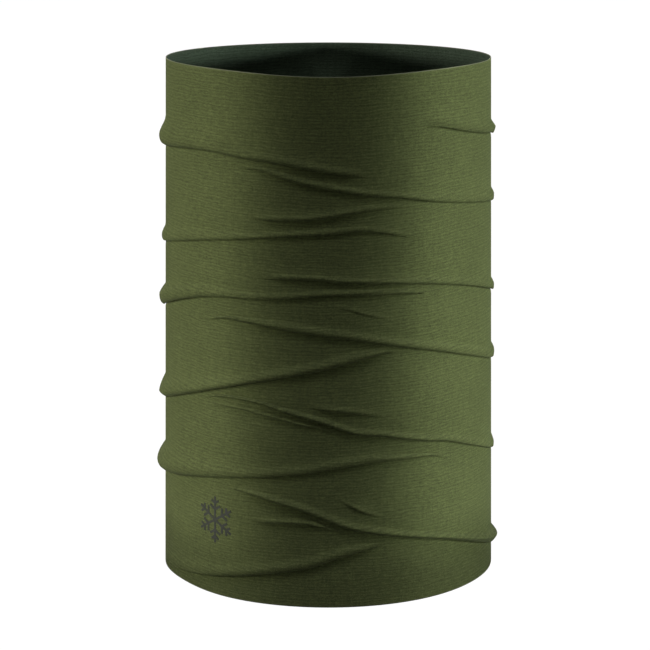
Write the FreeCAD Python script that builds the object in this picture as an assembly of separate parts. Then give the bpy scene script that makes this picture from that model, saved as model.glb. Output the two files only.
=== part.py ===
"""Neck gaiter: one seamless knitted tube, pushed down into a short stack of soft tucks.

The tube stands upright on its lower raw edge.  +Z is up, -Y is the front, and the
origin is the centre of the lower opening, on the surface that the tube stands on.
"""
import FreeCAD, Part
import math
import os
from collections import namedtuple

# Driving dimensions, in mm.
BOTTOM_RADIUS = 79.7          # outside of the knit at the lower edge
TOP_RADIUS = 76.3             # outside of the knit at the upper edge
HEIGHT = 244.8                # as it stands, with its tucks in
WALL = 1.0                    # knit and the air it holds, as it stands
FILM = 0.15                   # heat-transfer film

# A tuck's lip is fullest at its own side and has died away this far round from it.
LIP_FADE_ANGLE = 112.0
LIP_ROOT = 0.4                # depth of the lip's upper end inside the wall

MARK_ANGLE = -41.5            # round from the front, positive towards +X
MARK_HEIGHT = 36.0
MARK_SPAN = 22.0              # tip to tip of the snowflake
MARK_LINE = 1.1               # width of its strokes
MARK_ARMS = 6
MARK_TWIG_PLACES = (0.45, 0.72)     # along an arm, as parts of its length
MARK_TWIG_LENGTHS = (3.6, 2.6)
MARK_TWIG_LEAN = 60.0         # between a twig and its arm

CARE_WIDTH = 30.0
CARE_HEIGHT = 20.0
CARE_MIDDLE = 34.0            # height of its middle, on the inside of the back
CARE_CORNER = 3.0

LEFT = -1.0
RIGHT = 1.0

# side: the side where the lip is fullest.  side_z and front_z: height of its lower
# edge there and at the front.  lip: how far it stands out.  flare: length of its slope.
Tuck = namedtuple("Tuck", "side side_z front_z lip flare")
TUCKS = (
    Tuck(RIGHT, 209.0, 222.0, 1.9, 8.0),
    Tuck(LEFT, 204.0, 200.0, 2.9, 16.0),
    Tuck(RIGHT, 176.0, 192.0, 1.0, 6.0),
    Tuck(LEFT, 158.0, 173.0, 1.6, 12.0),
    Tuck(RIGHT, 135.0, 151.0, 1.1, 6.0),
    Tuck(LEFT, 129.0, 145.0, 2.8, 9.0),
    Tuck(RIGHT, 101.0, 126.0, 1.2, 8.0),
    Tuck(LEFT, 82.0, 112.0, 2.9, 10.0),
    Tuck(RIGHT, 57.0, 86.0, 1.2, 6.0),
    Tuck(LEFT, 45.0, 65.0, 3.4, 16.0),
    Tuck(RIGHT, 11.0, 42.0, 2.9, 8.0),
    Tuck(LEFT, 3.0, 22.0, 1.0, 8.0),
)


def radius_at(height):
    """Outside radius of the plain tube at a height."""
    return BOTTOM_RADIUS + (TOP_RADIUS - BOTTOM_RADIUS) * height / HEIGHT


def tapered_core(inset, low, high):
    """Solid cone that runs along the tube, inset from its outside."""
    base = FreeCAD.Vector(0, 0, low)
    axis = FreeCAD.Vector(0, 0, 1)
    return Part.makeCone(radius_at(low) - inset, radius_at(high) - inset, high - low, base, axis)


def tapered_shell(inner_inset, outer_inset, low, high):
    """Thin conical shell between two insets from the tube's outside."""
    overrun = 1.0
    core = tapered_core(inner_inset, low - overrun, high + overrun)
    return tapered_core(outer_inset, low, high).cut(core)


def tuck_lip(tuck):
    """Off-centre cone whose lower edge leans down to the tuck's own side."""
    fade = math.cos(math.radians(LIP_FADE_ANGLE))
    off_centre = tuck.lip / (1.0 - fade)
    edge_radius = radius_at(tuck.side_z) + tuck.lip - off_centre
    root_radius = edge_radius - tuck.lip - LIP_ROOT
    base = FreeCAD.Vector(tuck.side * off_centre, 0, 0)
    cone = Part.makeCone(edge_radius, root_radius, tuck.flare, base, FreeCAD.Vector(0, 0, 1))
    lean = tuck.side * (tuck.side_z - tuck.front_z) / radius_at(tuck.side_z)
    shear = FreeCAD.Matrix(1, 0, 0, 0, 0, 1, 0, 0, lean, 0, 1, tuck.front_z, 0, 0, 0, 1)
    return cone.transformGeometry(shear)


def knit_tube():
    """The seamless tube with its tucks' lips standing out of it."""
    overrun = 10.0
    outside = tapered_core(0.0, 0.0, HEIGHT)
    for tuck in TUCKS:
        outside = outside.fuse(tuck_lip(tuck))
    inside = tapered_core(WALL, -overrun, HEIGHT + overrun)
    return outside.cut(inside).removeSplitter()


def stroke(length, lean):
    """Flat bar from the origin, in the XZ plane, leaning from +Z towards +X."""
    reach = radius_at(0) + WALL
    bar = Part.makeBox(MARK_LINE, reach, length, FreeCAD.Vector(-MARK_LINE / 2, 0, 0))
    bar.rotate(FreeCAD.Vector(0, 0, 0), FreeCAD.Vector(0, 1, 0), lean)
    return bar


def snowflake():
    """Six-armed snowflake, standing in the XZ plane and running back along +Y."""
    arm_length = MARK_SPAN / 2
    flake = stroke(arm_length, 0.0)
    for index in range(MARK_ARMS):
        turn = index * 360.0 / MARK_ARMS
        flake = flake.fuse(stroke(arm_length, turn))
        along = FreeCAD.Vector(math.sin(math.radians(turn)), 0, math.cos(math.radians(turn)))
        for place, length in zip(MARK_TWIG_PLACES, MARK_TWIG_LENGTHS):
            for lean in (-MARK_TWIG_LEAN, MARK_TWIG_LEAN):
                twig = stroke(length, turn + lean)
                twig.translate(along * (place * arm_length))
                flake = flake.fuse(twig)
    return flake.removeSplitter()


def transfer_mark():
    """Snowflake film pressed on the outside of the knit, low at the front left."""
    cutter = snowflake()
    cutter.translate(FreeCAD.Vector(0, -radius_at(0) - WALL, MARK_HEIGHT))
    cutter.rotate(FreeCAD.Vector(0, 0, 0), FreeCAD.Vector(0, 0, 1), MARK_ANGLE)
    low = MARK_HEIGHT - MARK_SPAN
    high = MARK_HEIGHT + MARK_SPAN
    return tapered_shell(0.0, -FILM, low, high).common(cutter).removeSplitter()


def care_transfer():
    """Blank care panel with round corners, pressed on the inside of the back."""
    low = CARE_MIDDLE - CARE_HEIGHT / 2
    reach = radius_at(0)
    corner = FreeCAD.Vector(-CARE_WIDTH / 2, 0, low)
    panel = Part.makeBox(CARE_WIDTH, reach, CARE_HEIGHT, corner)
    upright = [edge for edge in panel.Edges if abs(edge.BoundBox.YLength - reach) < FILM]
    panel = panel.makeFillet(CARE_CORNER, upright)
    return tapered_shell(WALL + FILM, WALL, low, low + CARE_HEIGHT).common(panel)


NODES = {
    "knit_tube": knit_tube,
    "transfer_mark": transfer_mark,
    "care_transfer": care_transfer,
}

os.makedirs("parts", exist_ok=True)
for name, build in NODES.items():
    shape = build()
    shape.exportStep("parts/" + name + ".step")
    box = shape.BoundBox
    print(name, "solids", len(shape.Solids), "valid", shape.isValid(), "volume mm3", round(shape.Volume, 1))
    print("  x", round(box.XMin, 2), round(box.XMax, 2), "y", round(box.YMin, 2), round(box.YMax, 2),
          "z", round(box.ZMin, 2), round(box.ZMax, 2))
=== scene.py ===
"""Looks of a neck gaiter: a seamless knitted tube pushed down into a stack of slanting tucks.

The tube stands on its lower raw edge.  +Z is up, -Y is the front, and an angle is
measured round the tube from the front, positive towards +X.
"""

import logging
import math
from bisect import bisect_right
from dataclasses import dataclass
from enum import Enum
from typing import NamedTuple

import bmesh
import bpy
from mathutils import Matrix, Vector


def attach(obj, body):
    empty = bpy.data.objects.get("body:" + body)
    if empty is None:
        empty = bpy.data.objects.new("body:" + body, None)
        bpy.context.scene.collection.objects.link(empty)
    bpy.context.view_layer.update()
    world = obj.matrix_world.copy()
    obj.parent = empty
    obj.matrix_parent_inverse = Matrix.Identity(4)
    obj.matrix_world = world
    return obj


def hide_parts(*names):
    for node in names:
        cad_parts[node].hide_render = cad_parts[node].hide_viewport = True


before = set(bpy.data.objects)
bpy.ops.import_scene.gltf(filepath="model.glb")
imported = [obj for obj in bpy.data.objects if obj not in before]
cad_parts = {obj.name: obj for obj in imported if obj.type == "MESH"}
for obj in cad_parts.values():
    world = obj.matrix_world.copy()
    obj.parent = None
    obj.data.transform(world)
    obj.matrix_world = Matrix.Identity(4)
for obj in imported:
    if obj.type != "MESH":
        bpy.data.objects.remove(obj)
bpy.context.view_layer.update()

MM = 0.001
FULL_TURN = 360.0
log = logging.getLogger("neck_gaiter")


# ---------------------------------------------------------------- small helpers


def smooth(value: float, low: float = 0.0, high: float = 1.0) -> float:
    """Smooth step of value from 0 at low to 1 at high."""
    part = min(1.0, max(0.0, (value - low) / (high - low)))
    return part * part * (3.0 - 2.0 * part)


def soft_least(first: float, second: float, power: float = 4.0) -> float:
    """Smooth stand-in for the lesser of two positive lengths."""
    return first * second / (first**power + second**power) ** (1.0 / power)


def mix(first: float, second: float, share: float) -> float:
    """Value the given share of the way from first to second."""
    return first + (second - first) * share


def finish_piece(name: str, bm: bmesh.types.BMesh, material: bpy.types.Material,
                 rounded: bool = True) -> bpy.types.Object:
    """Turn a bmesh into an object at the origin, in the scene.

    Args:
        name: the piece's name.
        bm: its mesh, which is freed.
        material: its finish.
        rounded: whether its faces are shaded smooth.

    Returns:
        The new object.
    """
    mesh = bpy.data.meshes.new(name)
    bm.to_mesh(mesh)
    bm.free()
    if rounded:
        mesh.shade_smooth()
    mesh.materials.append(material)
    piece = bpy.data.objects.new(name, mesh)
    bpy.context.scene.collection.objects.link(piece)
    return piece


def turn_between(start: float, end: float) -> float:
    """Signed shortest turn in degrees from one angle to another."""
    return (end - start + FULL_TURN / 2) % FULL_TURN - FULL_TURN / 2


class RingCurve:
    """Smooth closed curve of a value against the angle round the tube."""

    def __init__(self, points: tuple[tuple[float, float], ...]) -> None:
        """Keep the points in order and work out the slope at each.

        Args:
            points: pairs of angle in degrees and value, within one turn.
        """
        self.points = sorted(points)
        count = len(self.points)
        self.slopes = []
        for index in range(count):
            before = self._at(index - 1)
            after = self._at(index + 1)
            self.slopes.append((after[1] - before[1]) / (after[0] - before[0]))

    def _at(self, index: int) -> tuple[float, float]:
        """Point of any index, unrolled past the ends of the turn."""
        turns, place = divmod(index, len(self.points))
        angle, value = self.points[place]
        return angle + turns * FULL_TURN, value

    def __call__(self, angle: float) -> float:
        """Run a cubic between the two points that an angle lies between.

        Args:
            angle: place round the tube, in degrees.

        Returns:
            The value of the curve there.
        """
        first = self.points[0][0]
        angle = first + (angle - first) % FULL_TURN
        index = bisect_right(self.points, (angle, math.inf)) - 1
        (start, low), (end, high) = self._at(index), self._at(index + 1)
        span = end - start
        t = (angle - start) / span
        slope_in = self.slopes[index] * span
        slope_out = self.slopes[(index + 1) % len(self.points)] * span
        rise = high - low
        cubic = slope_in + slope_out - 2.0 * rise
        square = 3.0 * rise - 2.0 * slope_in - slope_out
        return low + t * (slope_in + t * (square + t * cubic))


# ---------------------------------------------------------------- shader writing


class Wire:
    """A shader socket that Python arithmetic can be written on."""

    def __init__(self, nodes: "NodeBench", socket: bpy.types.NodeSocket) -> None:
        """Wrap one output socket of a material's node tree."""
        self.nodes = nodes
        self.socket = socket

    def _math(self, operation: str, *values: "Wire | float") -> "Wire":
        """Add a Math node on the given values."""
        return self.nodes.add("ShaderNodeMath", {"operation": operation}, dict(enumerate(values)))

    def __add__(self, other: "Wire | float") -> "Wire":
        """Sum of two values."""
        return self._math("ADD", self, other)

    def __mul__(self, other: "Wire | float") -> "Wire":
        """Product of two values."""
        return self._math("MULTIPLY", self, other)

    def __truediv__(self, other: "Wire | float") -> "Wire":
        """Quotient of two values."""
        return self._math("DIVIDE", self, other)

    def sine(self) -> "Wire":
        """Sine of this value, in radians."""
        return self._math("SINE", self)

    def fold(self, limit: float) -> "Wire":
        """This value run up to a limit and back down to 0, over and over."""
        return self._math("PINGPONG", self, limit)

    def near_one(self, low: float, high: float, contrast: float) -> "Wire":
        """This value as a strength that swings by the contrast to either side of 1."""
        return self.fit(low, high, 1.0 - contrast, 1.0 + contrast)

    def fit(self, low: float, high: float, to_low: float, to_high: float) -> "Wire":
        """This value carried smoothly from one range to another, and held at its ends."""
        values = {0: self, 1: low, 2: high, 3: to_low, 4: to_high}
        return self.nodes.add("ShaderNodeMapRange", {"interpolation_type": "SMOOTHSTEP"}, values)


class NodeBench:
    """The node tree of one new material."""

    def __init__(self, name: str) -> None:
        """Start a material of that name with an empty node tree."""
        self.material = bpy.data.materials.new(name)
        self.material.use_nodes = True
        self.tree = self.material.node_tree
        self.tree.nodes.clear()

    def add(self, kind: str, settings: dict | None = None, values: dict | None = None,
            output: int | str = 0) -> Wire:
        """Add a node: its settings first, then the values or links of its sockets.

        Args:
            kind: the node's type name.
            settings: the node's own properties.
            values: its input sockets by name or number, each a value or a Wire.
            output: name or number of the output socket that is wanted.

        Returns:
            The wanted output socket.
        """
        node = self.tree.nodes.new(kind)
        for key, value in (settings or {}).items():
            setattr(node, key, value)
        for key, value in (values or {}).items():
            if isinstance(value, Wire):
                self.tree.links.new(value.socket, node.inputs[key])
            else:
                node.inputs[key].default_value = value
        return Wire(self, node.outputs[output])

    def blend(self, share: Wire, first: "Wire | tuple", second: "Wire | tuple") -> Wire:
        """Colour the given share of the way from first to second."""
        settings = {"data_type": "RGBA"}
        return self.add("ShaderNodeMix", settings, {0: share, 6: first, 7: second}, 2)

    def tint(self, colour: "Wire | tuple", strength: Wire) -> Wire:
        """Colour made lighter or darker by a value near 1."""
        values = {0: colour if isinstance(colour, Wire) else colour[:3], "Scale": strength}
        return self.add("ShaderNodeVectorMath", {"operation": "SCALE"}, values)

    def finish(self, values: dict) -> bpy.types.Material:
        """Close the tree with a Principled shader and return the material."""
        shader = self.add("ShaderNodeBsdfPrincipled", None, values)
        self.add_output(shader)
        return self.material

    def add_output(self, shader: Wire) -> None:
        """Link a shader to the material's output."""
        node = self.tree.nodes.new("ShaderNodeOutputMaterial")
        self.tree.links.new(shader.socket, node.inputs["Surface"])


Colour = tuple[float, float, float, float]
WHITE: Colour = (1.0, 1.0, 1.0, 1.0)


@dataclass(frozen=True)
class KnitFinish:
    """Fine matt circular knit, with its inner face, whose colour is darkened as painted shade, and its raw
    cut edge.
    """

    face: Colour = (0.100, 0.121, 0.041, 1.0)
    # The reverse of the knit is a little bluer than the face, and is made darker than the cloth is, as
    # painted shade for the inside of the tube.
    reverse_with_painted_shade: Colour = (0.062, 0.088, 0.056, 1.0)
    cut: Colour = (0.24, 0.26, 0.16, 1.0)
    roughness: float = 0.9
    sheen: float = 0.06
    course: float = 0.56 * MM                 # from one row of loops to the next
    wales: int = 720                          # columns of loops all the way round
    lean: float = 0.35                        # how far the legs of a loop slant, in courses
    bands: tuple[float, float] = (1.68 * MM, 1.12 * MM)    # every third and every second course
    wander: tuple[float, float] = (14.0 * MM, 5.0 * MM)    # length and height of its patches
    dash: tuple[float, float] = (3.2 * MM, 1.1 * MM)
    thread: tuple[float, float] = (2.4 * MM, 0.40 * MM)
    grain: tuple[float, float] = (0.42 * MM, 0.36 * MM)
    rib: tuple[float, float] = (0.9 * MM, 7.0 * MM)
    cloud: tuple[float, float] = (26.0 * MM, 18.0 * MM)
    line_contrast: float = 0.16
    thread_contrast: float = 0.12
    grain_contrast: float = 0.24
    cloud_contrast: float = 0.04              # of the clouds and of the ribs
    stitch_contrast: float = 0.06
    line_height: float = 0.015 * MM
    thread_height: float = 0.04 * MM
    stitch_height: float = 0.02 * MM
    wander_courses: float = 1.5               # how far the level lines wander, in their own spacing

    def build(self) -> bpy.types.Material:
        """Make the material.

        Returns:
            A material that reads the attribute "cloth", the sheet's place before it was
            tucked, the attributes "inside" and "cut", and the UV map "loops".
        """
        bench = NodeBench("knit")
        cloth = bench.add("ShaderNodeAttribute", {"attribute_name": "cloth"}, None, "Vector")
        inside = bench.add("ShaderNodeAttribute", {"attribute_name": "inside"}, None, "Fac")
        cut = bench.add("ShaderNodeAttribute", {"attribute_name": "cut"}, None, "Fac")

        dash = self._streaks(bench, cloth, self.dash, 1.0)
        thread = self._streaks(bench, cloth, self.thread, 1.0)
        grain = self._streaks(bench, cloth, self.grain, 0.0)
        rib = self._streaks(bench, cloth, self.rib, 0.0)
        cloud = self._streaks(bench, cloth, self.cloud, 2.0)
        lines = self._lines(bench, cloth, dash)
        stitch = self._stitches(bench)

        shade = lines.near_one(-1.0, 1.0, self.line_contrast)
        shade = shade * thread.near_one(0.3, 0.7, self.thread_contrast)
        shade = shade * grain.near_one(0.25, 0.75, self.grain_contrast)
        shade = shade * rib.near_one(0.3, 0.7, self.cloud_contrast)
        shade = shade * cloud.near_one(0.3, 0.7, self.cloud_contrast)
        shade = shade * stitch.near_one(0.0, 1.0, self.stitch_contrast)
        # The inner face takes the darkened reverse colour, which is painted shade for the inside of the
        # tube.
        colour = bench.blend(inside, self.face, self.reverse_with_painted_shade)
        colour = bench.tint(colour, shade)
        colour = bench.blend(cut.fit(0.35, 0.9, 0.0, 1.0), colour, self.cut)

        height = lines * self.line_height + thread * self.thread_height + stitch * self.stitch_height
        normal = bench.add("ShaderNodeBump", None, {"Strength": 0.9, "Distance": 1.0, "Height": height})
        return bench.finish({
            "Base Color": colour,
            "Roughness": dash.fit(0.2, 0.8, self.roughness + 0.05, self.roughness - 0.05),
            "Normal": normal,
            "Sheen Weight": self.sheen,
            "Sheen Roughness": 0.5,
            "Sheen Tint": (0.62, 0.72, 0.50, 1.0),
            "Specular IOR Level": 0.12,
        })

    def _lines(self, bench: NodeBench, cloth: Wire, dash: Wire) -> Wire:
        """Broken level lines, where the tension of the yarn varies from course to course.

        Args:
            bench: the material's nodes.
            cloth: the sheet's place before it was tucked, in metres.
            dash: noise that breaks the lines.

        Returns:
            A value from -1 to 1.
        """
        along = bench.add("ShaderNodeSeparateXYZ", None, {0: cloth}, "Z")
        wander = self._streaks(bench, cloth, self.wander, 1.0)
        coarse, fine = ((along / band + wander * self.wander_courses) * math.tau for band in self.bands)
        return coarse.sine() * dash.fit(0.3, 0.65, 0.1, 0.8) + fine.sine() * dash.fit(0.35, 0.7, 0.5, 0.1)

    def _stitches(self, bench: NodeBench) -> Wire:
        """Columns of V-shaped loops, from the UV map "loops".

        Args:
            bench: the material's nodes.

        Returns:
            A value from 0 between the loops to 1 on the yarn.
        """
        loops = bench.add("ShaderNodeUVMap", {"uv_map": "loops"})
        across = bench.add("ShaderNodeSeparateXYZ", None, {0: loops}, "X") * self.wales
        along = bench.add("ShaderNodeSeparateXYZ", None, {0: loops}, "Y") / self.course
        leg = across.fold(0.5)
        yarn = ((along + leg * (2.0 * self.lean)) * math.tau).sine()
        gap = (across * math.tau).sine()
        return yarn * 0.35 + gap * 0.15 + 0.5

    def _streaks(self, bench: NodeBench, cloth: Wire, size: tuple[float, float],
                 detail: float) -> Wire:
        """Noise in streaks that lie level, or stand upright, on the cloth.

        Args:
            bench: the material's nodes.
            cloth: the sheet's place before it was tucked, in metres.
            size: length of a streak round the tube, and its height.
            detail: octaves of the noise.

        Returns:
            A value about 0.5.
        """
        scale = (1.0 / size[0], 1.0 / size[0], 1.0 / size[1])
        place = bench.add("ShaderNodeMapping", None, {"Vector": cloth, "Scale": scale})
        values = {"Vector": place, "Scale": 1.0, "Detail": detail, "Roughness": 0.5}
        return bench.add("ShaderNodeTexNoise", {"noise_dimensions": "3D"}, values)


@dataclass(frozen=True)
class FilmFinish:
    """Heat-transfer film pressed into a knit."""

    name: str
    colour: Colour
    roughness: float

    def build(self) -> bpy.types.Material:
        """Make the material.

        Returns:
            A material that reads Object coordinates.
        """
        bench = NodeBench(self.name)
        place = bench.add("ShaderNodeTexCoord", None, None, "Object")
        grain = bench.add("ShaderNodeTexNoise", None, {"Vector": place, "Scale": 900.0, "Detail": 3.0})
        wear = bench.add("ShaderNodeTexNoise", None, {"Vector": place, "Scale": 260.0, "Detail": 2.0})
        colour = bench.tint(self.colour, grain.fit(0.3, 0.7, 0.8, 1.25) * wear.fit(0.3, 0.7, 0.85, 1.15))
        height = grain * 0.03 * MM
        normal = bench.add("ShaderNodeBump", None, {"Strength": 0.8, "Distance": 1.0, "Height": height})
        return bench.finish({
            "Base Color": colour,
            "Roughness": wear.fit(0.3, 0.7, self.roughness - 0.08, self.roughness + 0.08),
            "Normal": normal,
        })


MARK_FILM = FilmFinish("mark_film", (0.020, 0.024, 0.012, 1.0), 0.62)
CARE_FILM = FilmFinish("care_film", (0.30, 0.32, 0.27, 1.0), 0.55)


# ---------------------------------------------------------------- the knitted tube


class Side(Enum):
    """The side of the tube where a tuck's lip is fullest, as its angle."""

    LEFT = -90.0
    RIGHT = 90.0


SIDE_EDGE = 0.42      # cosine of the angle from a tuck's side at which its front shape begins


@dataclass(frozen=True)
class Tuck:
    """One tuck of the cloth, or a soft ridge where it has no depth.

    The cloth comes down, stands out in a lip, turns under, goes up behind itself to
    the tuck's depth, and comes down again.  Lengths are in mm, angles in degrees.
    """

    name: str
    path: tuple[tuple[float, float], ...]     # angle and height of the lip's lower edge
    start: float                              # angle of the tuck's left end
    end: float                                # angle of its right end, past start
    lip: float                                # how far the lip stands out at its fullest
    flare: float                              # length of the slope above the lip
    side: Side = Side.LEFT
    crest: float = 0.28                       # fullest place, as a part of the flare
    depth: float = 11.0
    front_lip: float = 1.6                    # how far it stands out away from its side
    front_flare: float = 6.0                  # length of the slope away from its side
    front_crest: float = 0.3
    start_fade: float = 16.0
    end_fade: float = 16.0
    point: float = 0.0                        # how pointed the lip is at its fullest

    def weight(self, angle: float) -> float:
        """How much of the tuck is there.

        Args:
            angle: place round the tube, in degrees.

        Returns:
            1 along the tuck, falling to 0 at its two ends.
        """
        past_start = (angle - self.start) % FULL_TURN
        length = self.end - self.start
        if past_start > length:
            return 0.0
        rise = smooth(past_start / self.start_fade)
        fall = smooth((length - past_start) / self.end_fade)
        return rise * fall

    def depth_at(self, angle: float) -> float:
        """Depth of the closed tuck.

        Args:
            angle: place round the tube, in degrees.

        Returns:
            Depth in mm, greatest midway along the tuck and 0 at its ends.
        """
        past_start = (angle - self.start) % FULL_TURN
        part = min(1.0, past_start / (self.end - self.start))
        return self.depth * math.sin(math.pi * part)

    def nearness(self, angle: float) -> float:
        """1 at the tuck's fullest side, falling to 0 towards the front and back."""
        return smooth(math.cos(math.radians(turn_between(self.side.value, angle))), SIDE_EDGE, 1.0)

    def shape_at(self, angle: float) -> tuple[float, float, float]:
        """Shape before the tuck fades.

        Args:
            angle: place round the tube, in degrees.

        Returns:
            Lip, flare and crest.
        """
        near = self.nearness(angle)
        lip = mix(self.front_lip, self.lip, near)
        flare = mix(self.front_flare, self.flare, near)
        return lip, flare, mix(self.front_crest, self.crest, near)


TUCKS = (
    Tuck("collar_right", ((-90, 229), (-30, 225), (5, 221.5), (24, 220), (38, 219), (50, 216), (63, 213),
                          (77, 211), (92, 209), (120, 214), (150, 221), (180, 226)),
         start=33, end=148, lip=2.2, flare=6.5, side=Side.RIGHT, crest=0.42, front_lip=1.3,
         start_fade=18, end_fade=26, depth=9, point=0.7),
    Tuck("collar_left", ((-92, 204), (-77, 205), (-54, 207), (-42, 207), (-26, 205), (-17, 204), (-9, 202),
                         (5, 199), (18, 198), (50, 197), (90, 197), (140, 199), (180, 203), (-150, 206),
                         (-120, 205)),
         start=-212, end=14, lip=3.1, flare=16.5, front_lip=1.9, front_flare=4.2, front_crest=0.25,
         start_fade=20, end_fade=18),
    Tuck("upper_right", ((-90, 186), (-50, 198), (-26, 201), (-17, 198), (-9, 195), (-1, 193), (11, 190),
                         (24, 188), (33, 186), (44, 184), (77, 179), (92, 177.7), (125, 182), (160, 190),
                         (-155, 196), (-125, 190)),
         start=-33, end=196, lip=1.4, flare=6.0, side=Side.RIGHT, crest=0.4, front_lip=1.6,
         front_flare=2.9, start_fade=22, end_fade=20),
    Tuck("upper_ridge", ((-90, 172), (-35, 177), (-22, 177.5), (-9, 178), (-2, 179), (5, 180.7), (12, 182),
                         (17, 182.6), (27, 183), (40, 181), (90, 170), (180, 178)),
         start=-27, end=34, lip=1.7, flare=3.6, crest=0.42, depth=0.0, front_lip=1.7, front_flare=3.6,
         front_crest=0.42, start_fade=9, end_fade=34),
    Tuck("chest_left", ((-92, 158), (-77, 160), (-48, 166), (-30, 169), (-16, 171), (3, 173), (10, 174),
                        (17, 173), (29, 170), (38, 168), (60, 163), (90, 158), (130, 162), (165, 169),
                        (-160, 169), (-125, 162)),
         start=-200, end=35, lip=1.8, flare=12.0, front_lip=1.3, front_flare=2.6, crest=0.28,
         front_crest=0.25, start_fade=24, end_fade=36),
    Tuck("chest_right", ((-92, 146), (-50, 151), (-21, 152), (-4, 152), (3, 151), (17, 150), (35, 148),
                         (50, 145), (61, 142), (77, 137.2), (92, 134), (125, 141), (160, 149), (-160, 151),
                         (-125, 148)),
         start=-24, end=205, lip=1.4, flare=6.0, side=Side.RIGHT, crest=0.4, front_lip=1.6,
         front_flare=2.6, front_crest=0.25, start_fade=18, end_fade=24),
    Tuck("middle_left", ((-92, 126.6), (-77, 130.4), (-54, 138), (-42, 141), (-16, 143), (0, 145), (22, 145),
                         (28, 144.5), (36, 144), (46, 140), (90, 124), (130, 130), (165, 140), (-160, 141),
                         (-125, 134)),
         start=-196, end=33, lip=3.0, flare=11.0, crest=0.5, front_lip=1.3, front_flare=2.9,
         start_fade=18, end_fade=6),
    Tuck("middle_ridge", ((-90, 124), (-5, 139.5), (5, 138), (10, 136), (15, 134), (24, 131), (90, 112),
                          (180, 132)),
         start=0, end=22, lip=0.5, flare=3.0, crest=0.45, depth=0.0, front_lip=0.5, front_flare=3.0,
         front_crest=0.45, start_fade=9, end_fade=9),
    Tuck("middle_right", ((-90, 118), (-60, 133), (-48, 133.8), (-40, 132.8), (-26, 130.9), (-9, 128),
                          (7, 125), (22, 121), (40, 116), (52, 112), (77, 104), (92, 101.8), (125, 108),
                          (160, 119), (-160, 125), (-125, 117)),
         start=-46, end=192, lip=1.5, flare=8.5, side=Side.RIGHT, crest=0.5, front_lip=1.9,
         front_flare=4.2, start_fade=18, end_fade=22),
    Tuck("waist_left", ((-92, 83), (-77, 85), (-54, 93), (-41, 98), (-30, 102), (-21, 105), (-2, 111),
                        (12, 116), (21, 118.5), (28, 117), (40, 111), (60, 100), (90, 84), (130, 92),
                        (165, 105), (-160, 104), (-125, 91)),
         start=-205, end=23, lip=3.1, flare=10.5, crest=0.16, front_lip=2.2, front_flare=5.4,
         front_crest=0.25, start_fade=22, end_fade=14, point=0.5),
    Tuck("waist_ridge", ((-90, 79), (-40, 96), (-14, 94.5), (-3, 92), (7, 90.5), (15, 88.5), (24, 86.5),
                         (40, 80), (90, 70), (180, 93)),
         start=-7, end=20, lip=1.4, flare=3.8, crest=0.4, depth=0.0, front_lip=1.4, front_flare=3.8,
         front_crest=0.4, start_fade=8, end_fade=14),
    Tuck("waist_right", ((-90, 78), (-60, 96), (-46, 98.2), (-41, 97.8), (-35, 97.2), (-26, 95.6),
                         (-16, 91.8), (-2, 86.7), (3, 84), (10, 81), (17, 80), (24, 78), (35, 75),
                         (44, 73), (56, 68), (77, 60), (92, 57), (125, 66), (160, 80), (-160, 86),
                         (-125, 80)),
         start=-46, end=203, lip=1.3, flare=5.5, side=Side.RIGHT, crest=0.4, front_lip=2.0,
         front_flare=3.0, front_crest=0.25, start_fade=16, end_fade=24),
    Tuck("waist_crease", ((-90, 70), (-60, 84), (-41, 89.5), (-30, 90), (-23, 88.5), (-16, 87), (-9, 85),
                          (-2, 83.5), (5, 79), (40, 68), (90, 50), (180, 76)),
         start=-46, end=5, lip=1.1, flare=3.4, crest=0.4, depth=0.0, front_lip=1.1, front_flare=3.4,
         front_crest=0.4, start_fade=18, end_fade=16),
    Tuck("low_left", ((-92, 47.4), (-77, 48.8), (-65, 51), (-48, 55), (-34, 58), (-12, 62), (0, 65),
                      (15, 68), (24, 68), (33, 68), (40, 67.5), (48, 65), (60, 56), (90, 40), (130, 49),
                      (165, 61), (-160, 61), (-125, 51)),
         start=-192, end=45, lip=4.0, flare=17.0, crest=0.25, front_lip=1.5, front_flare=4.8,
         start_fade=20, end_fade=22),
    Tuck("low_ridge", ((-90, 35), (-30, 55), (0, 51), (5, 48.5), (8, 46), (12, 43.5), (16, 41.5), (26, 37),
                       (90, 22), (180, 49)),
         start=3, end=19, lip=1.1, flare=3.4, crest=0.42, depth=0.0, front_lip=1.1, front_flare=3.4,
         front_crest=0.42, start_fade=7, end_fade=9),
    Tuck("hem_right", ((-90, 36), (-60, 50), (-44, 53.4), (-35, 53.2), (-26, 51.2), (-14, 47.6), (-6, 44.4),
                       (2, 39.8), (7, 37), (13, 35), (20, 33), (31, 30), (44, 26), (77, 13), (92, 9.6),
                       (108, 9.6), (125, 15), (160, 31), (-160, 41), (-125, 36)),
         start=-35, end=165, lip=3.1, flare=5.4, side=Side.RIGHT, crest=0.55, front_lip=2.1,
         front_flare=4.2, front_crest=0.25, start_fade=18, end_fade=22, depth=10, point=0.8),
    Tuck("hem_crease", ((-90, 18), (-40, 37), (-22, 38), (-12, 39), (-5, 38.5), (4, 35), (40, 22), (90, 7),
                        (180, 28)),
         start=-27, end=3, lip=1.5, flare=3.2, crest=0.4, depth=0.0, front_lip=1.5, front_flare=3.2,
         front_crest=0.4, start_fade=9, end_fade=8),
    Tuck("hem_left", ((-92, 3.5), (-77, 4), (-61, 6), (-48, 8), (-34, 11), (-23, 14), (-12, 17), (-6, 19),
                      (2, 23), (12, 27), (18, 29), (24, 29), (40, 19), (60, 9), (90, 4), (130, 8), (165, 19),
                      (-160, 19), (-125, 7)),
         start=-81, end=20, lip=0.9, flare=7.0, crest=0.4, front_lip=2.0, front_flare=6.0,
         start_fade=12, end_fade=18, depth=7),
)


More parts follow.
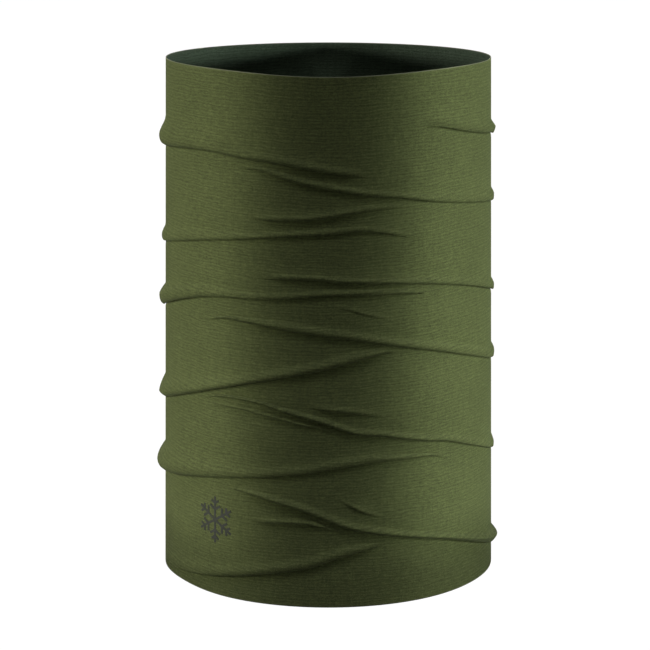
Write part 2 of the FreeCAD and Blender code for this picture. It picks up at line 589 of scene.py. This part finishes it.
class Band(NamedTuple):
    """Sizes of one tuck at one angle, in mm, with its crest as a part of the flare."""

    lip: float
    flare: float
    crest: float
    depth: float
    under: float      # length of cloth that settles below it
    roll: float       # largest radius of the lip's lower edge
    point: float      # 0 for a round lip, 1 for a pointed one


@dataclass
class KnitTube:
    """The seamless tube, made as one closed sheet with a thickness."""

    low_radius: float = 79.5       # middle of the cloth at the lower edge, mm
    high_radius: float = 76.1      # middle of the cloth at the upper edge, mm
    height: float = 244.8
    thickness: float = 0.40
    layer: float = 0.46            # from the middle of one layer to the next in a tuck
    front_dip: float = 2.5         # the upper edge hangs lower at the front
    front_dip_angle: float = 34.0
    corner_lifts: tuple[tuple[float, float], ...] = ((-62.0, 0.9), (62.0, 0.35))
    corner_angle: float = 17.0     # the lower edge is lifted a little over this angle
    front_roll: float = 0.35       # largest radius of a lip's lower edge at the front
    side_roll: float = 0.40        # and at its side
    roll_share: float = 0.42       # the radius, as a part of how far the lip stands out
    columns: int = 114
    crowding: float = 18.0         # how far the columns are drawn to the front, degrees
    under: float = 2.5             # length of cloth that settles below a lip
    least_gap: float = 1.1         # no tuck comes nearer than this to the one above it
    edge_row: float = 0.6          # height of the row of loops that a raw edge shows
    tucks: tuple[Tuck, ...] = TUCKS
    flat_width: float = 490.0      # size of the cut sheet, mm
    flat_length: float = 430.0
    gather: float = 0.08           # share of the hidden cloth that tilts the courses
    flare_room: float = 0.62       # most of the room above a tuck that its flare takes
    depth_room: float = 0.7        # and that its depth takes
    under_room: float = 0.3        # most of the room below it that its settled cloth takes
    end_depth: float = 0.8         # depth left at the ends of a closed tuck
    faded_lip: float = 0.6         # share of the lip that a closed tuck keeps as it fades
    closing: tuple[float, float] = (0.02, 0.45)    # weights between which a ridge closes to a tuck
    course_length: float = 262.0   # the same at every angle, so that courses meet the edges

    SLOPE = (1.0, 0.84, 0.69, 0.56, 0.44, 0.34, 0.25, 0.16, 0.08, 0.02)
    BEHIND = (0.10, 0.50, 0.90)
    SETTLE = ((0.06, 0.3), (0.4, 0.1), (1.0, 0.0))     # part of the way down, and how far it is drawn in
    TURN_UNDER = (-35.0, -75.0, -110.0, -150.0)        # degrees round the roll of the lip
    TURN_BACK = (50.0, 130.0)      # degrees round the top of the hidden layers
    LEAST_DEPTH = 1.2              # of a closed tuck, as a part of its roll
    RIDGE_ROWS = 5                 # rows below the foot of a ridge
    RIDGE_START = 0.2              # where the first of them lies, as a part of their spacing
    PLAIN_ROWS = 2                 # rows of plain cloth above each tuck

    def __post_init__(self) -> None:
        """Draw each tuck's height as a closed curve."""
        self.curves = [RingCurve(tuck.path) for tuck in self.tucks]

    def radius_at(self, height: float) -> float:
        """Radius of the middle of the cloth at a height, in mm."""
        return mix(self.low_radius, self.high_radius, height / self.height)

    def top_at(self, angle: float) -> float:
        """Height of the upper edge at an angle, in mm."""
        away = turn_between(0.0, angle) / self.front_dip_angle
        return self.height - self.front_dip * math.exp(-away * away)

    def hem_at(self, angle: float) -> float:
        """Lift the lower edge a little at its two corners.

        Args:
            angle: place round the tube, in degrees.

        Returns:
            Height of the lower edge in mm.
        """
        lift = 0.0
        for middle, most in self.corner_lifts:
            away = turn_between(middle, angle) / self.corner_angle
            lift += most * math.exp(-away * away)
        return lift

    def column_angle(self, column: int) -> float:
        """Angle of a column of points in degrees: they stand closer at the front."""
        part = column / self.columns
        return FULL_TURN * part - self.crowding * math.sin(math.tau * part)

    def fold_rows(self, band: Band) -> list[tuple[float, float]]:
        """Section of a closed tuck, whose lip turns under in a soft roll.

        Args:
            band: the tuck's sizes here.

        Returns:
            Pairs of outward and upward distance from the lip's lower edge, downwards
            along the cloth.
        """
        stack = 2.0 * self.layer
        roll = min(band.roll, max(self.layer / 2.0, self.roll_share * (band.lip - self.layer)))
        edge = self.layer + 2.0 * roll
        depth = max(band.depth, self.LEAST_DEPTH * roll)

        def inner(rise: float) -> float:
            """Outward place of the innermost layer at a rise above the lip."""
            return -stack * smooth(rise / band.flare)

        rows = []
        for part in self.SLOPE:
            if part > band.crest:
                away = (part - band.crest) / (1.0 - band.crest)
                share = mix(0.5 + 0.5 * math.cos(math.pi * away), 1.0 - away, band.point)
                out = max(band.lip, edge) * share
            else:
                away = (band.crest - part) / band.crest
                share = mix(math.sqrt(max(0.0, 1.0 - away * away)), 1.0 - away, band.point)
                out = edge + max(0.0, band.lip - edge) * share
            rows.append((out, mix(roll, band.flare, part)))
        for turn in self.TURN_UNDER:
            bend = math.radians(turn)
            rows.append((self.layer + roll + roll * math.cos(bend), roll + roll * math.sin(bend)))
        for part in self.BEHIND:
            rise = mix(roll, depth, part)
            rows.append((inner(rise) + self.layer, rise))
        half = self.layer / 2.0
        middle = inner(depth) + half
        for turn in self.TURN_BACK:
            bend = math.radians(turn)
            rows.append((middle + half * math.cos(bend), depth + half * math.sin(bend)))
        for part in reversed(self.BEHIND):
            rows.append((inner(part * depth), part * depth))
        for part, drawn_in in self.SETTLE:
            rows.append((-drawn_in, -part * band.under))
        return rows

    def ridge_rows(self, band: Band, count: int) -> list[tuple[float, float]]:
        """Section of a soft ridge, or of a tuck that has faded to one.

        Args:
            band: the ridge's sizes here.
            count: the number of rows.

        Returns:
            Pairs of outward and upward distance, as in fold_rows.
        """
        rows = []
        for part in self.SLOPE:
            if part > band.crest:
                away = (part - band.crest) / (1.0 - band.crest)
            else:
                away = (band.crest - part) / band.crest
            rows.append((band.lip * (0.5 + 0.5 * math.cos(math.pi * away)), part * band.flare))
        left = count - len(rows)
        for index in range(left):
            rows.append((0.0, -band.under * (index + self.RIDGE_START) / left))
        return rows

    def section(self, angle: float) -> list[tuple[float, float, float]]:
        """The cloth's middle line at one angle, from the upper edge down.

        Args:
            angle: place round the tube, in degrees.

        Returns:
            Outward place from the plain tube, height, and place along the flat cloth, mm.
        """
        top, hem = self.top_at(angle), self.hem_at(angle)
        heights = []
        for curve in self.curves:
            heights.append(min(curve(angle), (heights or [top])[-1] - self.least_gap))
        ceilings = [top] + heights[:-1]
        floors = heights[1:] + [hem]
        line = [(0.0, top), (0.0, top - self.edge_row)]
        for tuck, height, ceiling, ground in zip(self.tucks, heights, ceilings, floors):
            room = ceiling - height
            weight = tuck.weight(angle)
            lip, flare, crest = tuck.shape_at(angle)
            flare = soft_least(flare, self.flare_room * room)
            under = soft_least(self.under, self.under_room * (height - ground))
            depth = soft_least(tuck.depth_at(angle) + self.end_depth, self.depth_room * room)
            near = tuck.nearness(angle) ** 2
            roll = mix(self.front_roll, self.side_roll, near)
            point = tuck.point * near
            low = Band(lip * weight, flare, crest, 0.0, under, roll, point)
            rows = self.ridge_rows(low, len(self.SLOPE) + self.RIDGE_ROWS)
            if tuck.depth > 0.0:
                kept = lip * mix(self.faded_lip, 1.0, weight)
                fold = self.fold_rows(Band(kept, flare, crest, depth, under, roll, point))
                ridge = self.ridge_rows(low, len(fold))
                share = smooth(weight, *self.closing)
                rows = [(mix(a[0], b[0], share), mix(a[1], b[1], share)) for a, b in zip(ridge, fold)]
            start = height + rows[0][1]
            last = line[-1]
            for index in range(self.PLAIN_ROWS):
                share = (index + 1.0) / (self.PLAIN_ROWS + 1.0)
                line.append((mix(last[0], rows[0][0], share), mix(last[1], start, share)))
            line += [(out, height + rise) for out, rise in rows]
        line += [(0.0, hem + self.edge_row), (0.0, hem)]
        return self._place_courses(line)

    def _place_courses(self, line: list[tuple[float, float]]) -> list[tuple[float, float, float]]:
        """Work out where each point of a section lies along the flat cloth.

        Args:
            line: pairs of outward place and height, from the upper edge down.

        Returns:
            The same points, each with its place along the flat cloth, mm.
        """
        places = []
        run = 0.0
        for index, point in enumerate(line):
            if index:
                run += math.dist(line[index - 1], point)
            places.append(mix(line[0][1] - point[1], run, self.gather))
        stretch = self.course_length / places[-1]
        return [(out, height, place * stretch) for (out, height), place in zip(line, places)]

    def faces_of(self, angle: float) -> tuple[list[Vector], list[float]]:
        """Both faces of the cloth at one angle.

        Args:
            angle: place round the tube, in degrees.

        Returns:
            Points down the outside and back up the inside, in metres, in the plane of
            the angle as (radius, 0, height), and each one's place along the flat cloth, mm.
        """
        line = self.section(angle)
        outside, inside = [], []
        for index, (out, height, place) in enumerate(line):
            above = line[max(index - 1, 0)]
            below = line[min(index + 1, len(line) - 1)]
            along = Vector((below[0] - above[0], below[1] - above[1]))
            along.normalize()
            normal = Vector((-along.y, along.x)) * (self.thickness / 2.0)
            radius = self.radius_at(height) + out
            outside.append((Vector((radius + normal.x, 0, height + normal.y)) * MM, place))
            inside.append((Vector((radius - normal.x, 0, height - normal.y)) * MM, place))
        both = outside + inside[::-1]
        return [point for point, _ in both], [place for _, place in both]

    def build(self, finish: KnitFinish) -> bpy.types.Object:
        """Spin a closed ring of points round the tube and move them on to the cloth.

        Args:
            finish: the knit's finish.

        Returns:
            The finished piece.
        """
        step = FULL_TURN / self.columns
        columns = [self.faces_of(self.column_angle(index)) for index in range(self.columns)]
        around = len(columns[0][0])
        ring_radius = 0.4 * self.height * MM
        bm = bmesh.new()
        turned = Matrix.Rotation(math.radians(90.0), 4, "X")
        bmesh.ops.create_circle(bm, cap_ends=False, segments=around, radius=ring_radius / 2, matrix=turned)
        bmesh.ops.translate(bm, verts=bm.verts, vec=(ring_radius, 0, 0))
        bmesh.ops.spin(bm, geom=bm.verts[:] + bm.edges[:], cent=(0, 0, 0), axis=(0, 0, 1),
                       angle=math.tau, steps=self.columns, use_merge=True)
        bmesh.ops.recalc_face_normals(bm, faces=bm.faces)

        cloth = bm.verts.layers.float_vector.new("cloth")
        inside = bm.verts.layers.float.new("inside")
        cut = bm.verts.layers.float.new("cut")
        half = around // 2
        reach = self.flat_width * MM / math.tau
        for vert in bm.verts:
            turn = math.degrees(math.atan2(vert.co.y, vert.co.x))
            column = round(turn / step) % self.columns
            spoke = math.hypot(vert.co.x, vert.co.y) - ring_radius
            # The ring is run from its top, down its outer half and up its inner half.
            about = math.degrees(math.atan2(spoke, vert.co.z)) % FULL_TURN
            row = round(about / FULL_TURN * around) % around
            points, places = columns[column]
            angle = math.radians(self.column_angle(column))
            point = points[row]
            vert.co = (point.x * math.sin(angle), -point.x * math.cos(angle), point.z)
            vert[cloth] = (reach * math.sin(angle), -reach * math.cos(angle), places[row] * MM)
            # Rows of the inner face, which the material darkens as painted shade.
            vert[inside] = 1.0 if row >= half else 0.0
            vert[cut] = 1.0 if row in (0, half - 1, half, around - 1) else 0.0
        self._lay_loops(bm, cloth)
        return finish_piece("knit_tube_cloth", bm, finish.build())

    def _lay_loops(self, bm: bmesh.types.BMesh, cloth: bmesh.types.BMLayerItem) -> None:
        """Write the UV map "loops": turns round the tube, and metres along the cloth.

        Args:
            bm: the cloth's mesh.
            cloth: its layer of places before the cloth was tucked.
        """
        loops = bm.loops.layers.uv.new("loops")
        for face in bm.faces:
            middle = face.calc_center_median()
            base = math.atan2(middle.x, -middle.y) / math.tau
            for loop in face.loops:
                place = loop.vert[cloth]
                turn = math.atan2(place.x, -place.y) / math.tau
                turn += round(base - turn)
                loop[loops].uv = (turn, place.z)


@dataclass
class CareTransfer:
    """The blank care panel: a film pressed on to the inside of the back, near the hem."""

    width: float = 30.0
    height: float = 20.0
    corner: float = 3.0
    thickness: float = 0.15
    middle_height: float = 34.0
    proud: float = 0.02            # gap from the cloth, so that the two never flicker
    cuts: int = 11                 # cuts across the panel, so that it bends with the tube

    def build(self, tube: KnitTube, finish: FilmFinish) -> bpy.types.Object:
        """Cut a rounded panel, thicken it and bend it on to the tube's inner face.

        Args:
            tube: the tube that it is pressed on to.
            finish: the film's finish.

        Returns:
            The finished piece.
        """
        bm = bmesh.new()
        bmesh.ops.create_grid(bm, x_segments=1, y_segments=1, size=0.5)
        bmesh.ops.scale(bm, verts=bm.verts, vec=(self.width, self.height, 1.0))
        bmesh.ops.bevel(bm, geom=bm.verts[:], offset=self.corner, offset_type="OFFSET", segments=5,
                        profile=0.5, affect="VERTICES", material=-1)
        for index in range(self.cuts):
            place = self.width * ((index + 1.0) / (self.cuts + 1.0) - 0.5)
            bmesh.ops.bisect_plane(bm, geom=bm.verts[:] + bm.edges[:] + bm.faces[:],
                                   plane_co=(place, 0, 0), plane_no=(1, 0, 0))
        bmesh.ops.solidify(bm, geom=bm.faces[:], thickness=self.thickness)
        bmesh.ops.recalc_face_normals(bm, faces=bm.faces)
        lowest = min(vert.co.z for vert in bm.verts)
        for vert in bm.verts:
            height = self.middle_height + vert.co.y
            radius = tube.radius_at(height) - tube.thickness / 2.0 - self.proud
            angle = vert.co.x / radius
            radius -= vert.co.z - lowest
            vert.co = (radius * math.sin(angle), radius * math.cos(angle), height)
            vert.co *= MM
        bmesh.ops.recalc_face_normals(bm, faces=bm.faces)
        return finish_piece("care_panel", bm, finish.build(), rounded=False)


# ---------------------------------------------------------------- the studio


@dataclass(frozen=True)
class Softbox:
    """One soft light with a grid that keeps its light within a spread."""

    name: str
    around: float                 # degrees round from the front
    rise: float                   # degrees above level, seen from its aim
    distance: float
    aim: tuple[float, float, float]
    size: tuple[float, float]     # across and up, in metres
    power: float
    spread: float = 180.0
    roll: float = 0.0             # degrees turned about its own beam
    colour: tuple[float, float, float] = (1.0, 1.0, 1.0)

    def build(self) -> None:
        """Hang the light and turn it to its aim."""
        light = bpy.data.lights.new(self.name, "AREA")
        light.energy = self.power
        light.shape = "RECTANGLE"
        light.size, light.size_y = self.size
        light.spread = math.radians(self.spread)
        light.color = self.colour
        around, rise = math.radians(self.around), math.radians(self.rise)
        level = math.cos(rise)
        away = Vector((math.sin(around) * level, -math.cos(around) * level, math.sin(rise)))
        lamp = bpy.data.objects.new(self.name, light)
        lamp.location = Vector(self.aim) + away * self.distance
        level_up = (-away).to_track_quat("-Z", "Y").to_matrix()
        rolled = Matrix.Rotation(math.radians(self.roll), 3, "Z")
        lamp.rotation_euler = (level_up @ rolled).to_euler()
        bpy.context.scene.collection.objects.link(lamp)


SOFTBOXES = (
    Softbox("beam_left_low", around=-74, rise=3, distance=0.5, aim=(-0.025, 0.0865, 0.182),
            size=(0.30, 0.33), power=0.141, spread=6, colour=(1.0, 0.97, 0.96)),
    Softbox("beam_left_high", around=-74, rise=30, distance=0.5, aim=(-0.025, 0.0865, 0.086),
            size=(0.30, 0.266), power=0.105, spread=6, colour=(1.0, 0.97, 0.96)),
    Softbox("beam_right_low", around=74, rise=3, distance=0.5, aim=(0.025, 0.0865, 0.182),
            size=(0.30, 0.33), power=0.176, spread=6, roll=-1.5, colour=(0.97, 1.0, 1.02)),
    Softbox("beam_right_high", around=74, rise=30, distance=0.5, aim=(0.025, 0.0865, 0.086),
            size=(0.30, 0.266), power=0.123, spread=6, roll=-1.5, colour=(0.97, 1.0, 1.02)),
    Softbox("light_top", around=0, rise=70, distance=0.4, aim=(0, -0.228, 0.12), size=(0.6, 0.37),
            power=0.19, spread=20, colour=(1.0, 0.97, 1.15)),
    Softbox("light_back", around=180, rise=20, distance=1.3, aim=(0, 0, 0.12), size=(0.7, 0.7), power=3.0),
)


@dataclass
class Studio:
    """Pale floor, soft lights and the camera."""

    camera_distance: float = 1.1184
    camera_height: float = 0.3444
    camera_side: float = -0.0016
    camera_drop: float = 11.554        # degrees down from level
    lens: float = 131.5
    sensor: float = 36.0
    ambient: float = 0.10
    floor_reach: float = 6.0
    floor_grey: float = 0.45           # what the floor sends back to the object
    floor_glow: float = 1.05           # what it shows the camera
    glow_share: float = 0.97

    def build(self) -> None:
        """Make the floor, the world, the lights and the camera."""
        scene = bpy.context.scene
        scene.view_settings.view_transform = "Standard"
        self._floor()
        self._world(scene)
        for softbox in SOFTBOXES:
            softbox.build()
        camera = bpy.data.cameras.new("camera")
        camera.lens = self.lens
        camera.sensor_width = self.sensor
        holder = bpy.data.objects.new("camera", camera)
        holder.location = (self.camera_side, -self.camera_distance, self.camera_height)
        holder.rotation_euler = (math.radians(90.0 - self.camera_drop), 0, 0)
        scene.collection.objects.link(holder)
        scene.camera = holder

    def _floor(self) -> None:
        """Add the plain pale floor."""
        bm = bmesh.new()
        bmesh.ops.create_grid(bm, x_segments=1, y_segments=1, size=self.floor_reach)
        mesh = bpy.data.meshes.new("floor")
        bm.to_mesh(mesh)
        bm.free()
        floor = bpy.data.objects.new("floor", mesh)
        bpy.context.scene.collection.objects.link(floor)
        bench = NodeBench("floor")
        seen = bench.add("ShaderNodeLightPath", None, None, "Is Camera Ray")
        grey = (self.floor_grey, self.floor_grey, self.floor_grey, 1.0)
        paper = bench.add("ShaderNodeBsdfDiffuse", None, {"Color": grey})
        glow = bench.add("ShaderNodeEmission", None, {"Color": WHITE, "Strength": self.floor_glow})
        share = seen * self.glow_share
        bench.add_output(bench.add("ShaderNodeMixShader", None, {0: share, 1: paper, 2: glow}))
        mesh.materials.append(bench.material)

    def _world(self, scene: bpy.types.Scene) -> None:
        """Put white behind the object, and a dim even light all round it.

        Args:
            scene: the scene that gets the world.
        """
        world = bpy.data.worlds.new("studio")
        world.use_nodes = True
        tree = world.node_tree
        tree.nodes.clear()
        path = tree.nodes.new("ShaderNodeLightPath")
        dim = tree.nodes.new("ShaderNodeBackground")
        dim.inputs["Strength"].default_value = self.ambient
        white = tree.nodes.new("ShaderNodeBackground")
        white.inputs["Strength"].default_value = 1.0
        white.inputs["Color"].default_value = WHITE
        both = tree.nodes.new("ShaderNodeMixShader")
        output = tree.nodes.new("ShaderNodeOutputWorld")
        tree.links.new(path.outputs["Is Camera Ray"], both.inputs[0])
        tree.links.new(dim.outputs[0], both.inputs[1])
        tree.links.new(white.outputs[0], both.inputs[2])
        tree.links.new(both.outputs[0], output.inputs["Surface"])
        scene.world = world


def main() -> None:
    """Build the gaiter and the studio, and report each piece."""
    logging.basicConfig(level=logging.INFO, format="%(name)s: %(message)s")
    Studio().build()
    tube = KnitTube()
    cloth = tube.build(KnitFinish())
    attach(cloth, "root")
    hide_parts("knit_tube")
    log.info("%s: %d faces", cloth.name, len(cloth.data.polygons))
    log.info("tucks from the top: %s", ", ".join(tuck.name for tuck in tube.tucks))

    care = CareTransfer().build(tube, CARE_FILM)
    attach(care, "root")
    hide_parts("care_transfer")
    log.info("%s: %d faces", care.name, len(care.data.polygons))

    mark = bpy.data.objects["transfer_mark"]
    mark.material_slots[0].material = MARK_FILM.build()
    log.info("%s: %d faces", mark.name, len(mark.data.polygons))


if __name__ == "__main__":
    main()
